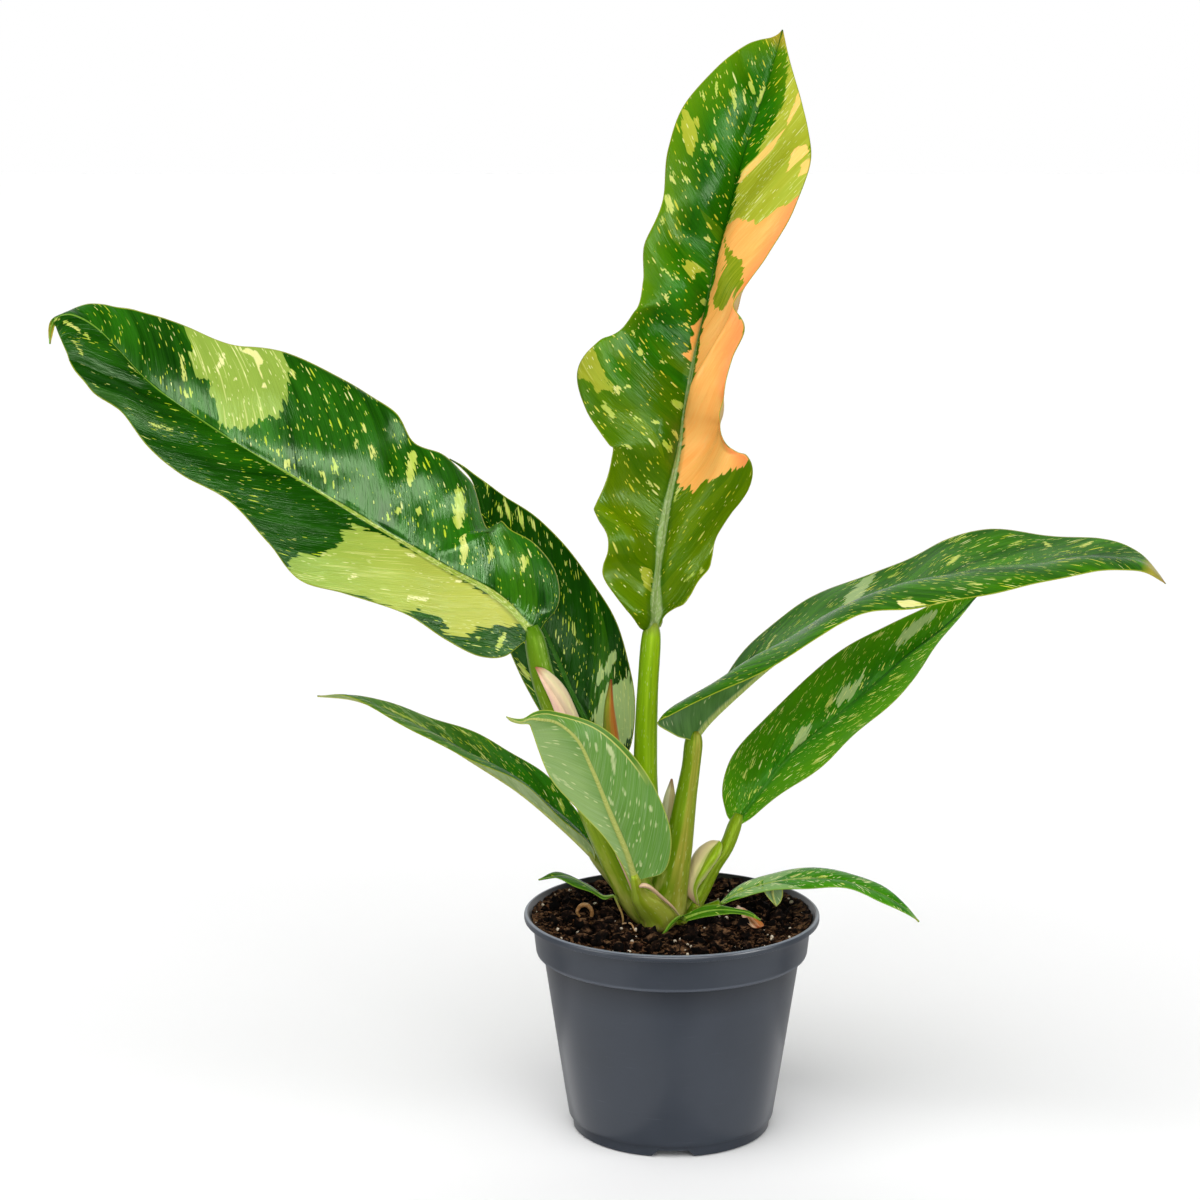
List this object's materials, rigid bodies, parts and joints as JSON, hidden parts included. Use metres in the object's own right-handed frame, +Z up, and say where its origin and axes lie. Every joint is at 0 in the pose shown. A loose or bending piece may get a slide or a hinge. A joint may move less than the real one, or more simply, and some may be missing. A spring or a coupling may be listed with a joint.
{
  "type": "potted philodendron",
  "caption": "Variegated philodendron with long, wavy lance-shaped leaves on upright stalks, growing from a short crown in a round tapered nursery pot of soil.",
  "frame": {"origin": "centre of the pot's base, on the surface that the pot stands on", "axes": "+Z up, +X to the right and +Y to the back as the plant is seen from its front"},
  "size_m": [0.6104, 0.17, 0.6254],
  "materials": {
    "pot_plastic": "slate grey moulded plastic, satin",
    "peat": "dark brown crumbly peat with white grains",
    "leaf_tissue": "glossy deep green with lime, yellow and orange patches",
    "leaf_underside": "pale grey-green underside of a leaf, satin",
    "stalk_tissue": "lime green with darker stripes, satin",
    "bract_tissue": "pale pink and green sheath, satin",
    "dry_tissue": "dry red-brown sheath, matt"
  },
  "bodies": {
    "root": {"pot": "pot_plastic", "soil": "peat", "crown": "stalk_tissue", "left_stalk": "stalk_tissue", "upright_stalk": "stalk_tissue", "right_stalk": "stalk_tissue", "lower_right_stalk": "stalk_tissue", "back_stalk": "stalk_tissue", "front_stalk": "stalk_tissue", "low_left_stalk": "stalk_tissue", "left_shoot_stalk": "stalk_tissue", "new_leaf": "stalk_tissue", "small_new_leaf": "stalk_tissue", "left_leaf": "leaf_tissue", "upright_leaf": "leaf_tissue", "right_leaf": "leaf_tissue", "lower_right_leaf": "leaf_tissue", "back_leaf": "leaf_tissue", "front_leaf": "leaf_underside", "low_left_leaf": "leaf_tissue", "rim_leaf": "leaf_tissue", "strap_leaf": "leaf_tissue", "curled_leaf": "leaf_tissue", "left_shoot_leaf": "leaf_tissue", "left_bract": "bract_tissue", "lower_right_bract": "bract_tissue", "dry_bract": "dry_tissue"}
  },
  "joints": []
}
